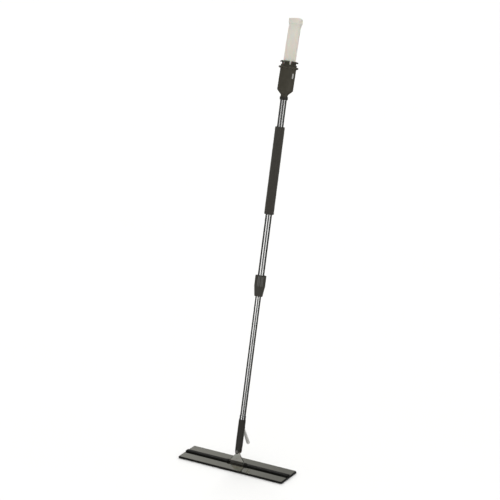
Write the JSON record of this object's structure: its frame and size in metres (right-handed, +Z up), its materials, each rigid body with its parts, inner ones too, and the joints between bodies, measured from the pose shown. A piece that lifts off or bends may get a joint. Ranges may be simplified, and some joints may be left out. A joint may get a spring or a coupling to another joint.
{
  "type": "flat mop",
  "caption": "Flat mop with a swivel board, a telescopic aluminium pole with a foam grip, and an upright solution bottle in a dosing cup.",
  "frame": {"origin": "centre of the board's underside, on the face of the middle hook strip", "axes": "+X along the board, +Y to the user's side, towards which the pole leans by 14.3 degrees, +Z up; -Z is out of the pad face"},
  "size_m": [0.41, 0.4622, 1.4834],
  "materials": {
    "tube_metal": "bright drawn and polished",
    "board_metal": "grey anodised, glossy",
    "black_moulding": "satin moulded",
    "cup_moulding": "glossy, slightly smoked",
    "collar_moulding": "satin, ribbed",
    "grip_foam": "closed-cell foam with a fine skin",
    "backing_foam": "closed-cell foam",
    "hook_tape": "woven hook tape",
    "grey_moulding": "light grey, slightly translucent",
    "pivot_cap": "domed, satin",
    "steel": "zinc plated",
    "bright_ring": "polished",
    "clear_plastic": "clear, a little milky",
    "line_plastic": "natural nylon",
    "bottle_plastic": "milky white, translucent",
    "seal_rubber": "moulded",
    "valve_plastic": "natural acetal"
  },
  "bodies": {
    "handle": {"upper_tube": "tube_metal", "lock_body": "black_moulding", "lock_collet": "valve_plastic", "foam_grip": "grip_foam", "upper_solution_tube": "line_plastic", "neck_clamp": "black_moulding", "clamp_screws": "steel", "bottle_cup": "cup_moulding", "valve_pin": "valve_plastic", "nose_seal": "seal_rubber", "sight_window_right": "clear_plastic", "sight_window_left": "clear_plastic"},
    "lock_collar": {"twist_collar": "collar_moulding"},
    "dose_head": {"finger_crown": "cup_moulding"},
    "bottle": {"bottle_shell": "bottle_plastic", "bottle_cap": "valve_plastic", "valve_cage": "valve_plastic", "valve_spring": "steel"},
    "valve": {"valve_poppet": "valve_plastic"},
    "lower_pole": {"pole_socket": "black_moulding", "pivot_bolt": "pivot_cap", "pivot_nut": "steel", "pivot_washers": "steel", "socket_screw": "steel", "lower_tube": "tube_metal", "tube_ferrule": "bright_ring", "spout_fitting": "valve_plastic", "outlet_spout": "clear_plastic", "lower_solution_tube": "line_plastic", "seal_gland": "valve_plastic", "gland_ring": "seal_rubber", "guide_plug": "valve_plastic"},
    "yoke": {"yoke": "grey_moulding", "yoke_barrel": "black_moulding", "yoke_bush_right": "valve_plastic", "yoke_bush_left": "valve_plastic"},
    "mop_head": {"base_board": "board_metal", "foam_backing": "backing_foam", "hook_strip_front": "hook_tape", "hook_strip_middle": "hook_tape", "hook_strip_rear": "hook_tape", "hinge_bracket": "black_moulding", "rail_right": "black_moulding", "rail_left": "black_moulding", "rail_cap_right": "black_moulding", "rail_cap_left": "black_moulding", "rail_screws": "steel", "hinge_pin": "steel"}
  },
  "joints": [
    {"name": "telescope", "type": "slide", "parent": "handle", "child": "lower_pole", "axis": [0, 0.247, 0.969], "range_m": [0, 0.4]},
    {"name": "collar_twist", "type": "hinge", "parent": "handle", "child": "lock_collar", "pos_m": [0, 0.15116, 0.60504], "axis": [0, 0.247, 0.969], "range_deg": [0, 90]},
    {"name": "dose_press", "type": "slide", "parent": "handle", "child": "dose_head", "axis": [0, -0.2974, -0.9548], "range_m": [0, 0.006], "stiffness_N_per_m": 800, "springref_m": -0.012},
    {"name": "bottle_lift", "type": "slide", "parent": "dose_head", "child": "bottle", "axis": [0, 0.2974, 0.9548], "range_m": [0, 0.12]},
    {"name": "valve_lift", "type": "slide", "parent": "bottle", "child": "valve", "axis": [0, 0.2974, 0.9548], "range_m": [0, 0.006], "deforming": ["valve_spring"]},
    {"name": "handle_swivel", "type": "hinge", "parent": "lower_pole", "child": "yoke", "pos_m": [0, 0.00939, 0.04882], "axis": [0, 0.969, -0.247], "range_deg": [-65, 65]},
    {"name": "head_tilt", "type": "hinge", "parent": "yoke", "child": "mop_head", "pos_m": [0, 0, 0.012], "axis": [1, 0, 0], "range_deg": [-80, 50]}
  ],
  "couplings": [
    {"joint": "valve_lift", "follows": "dose_press", "ratio": 1}
  ]
}
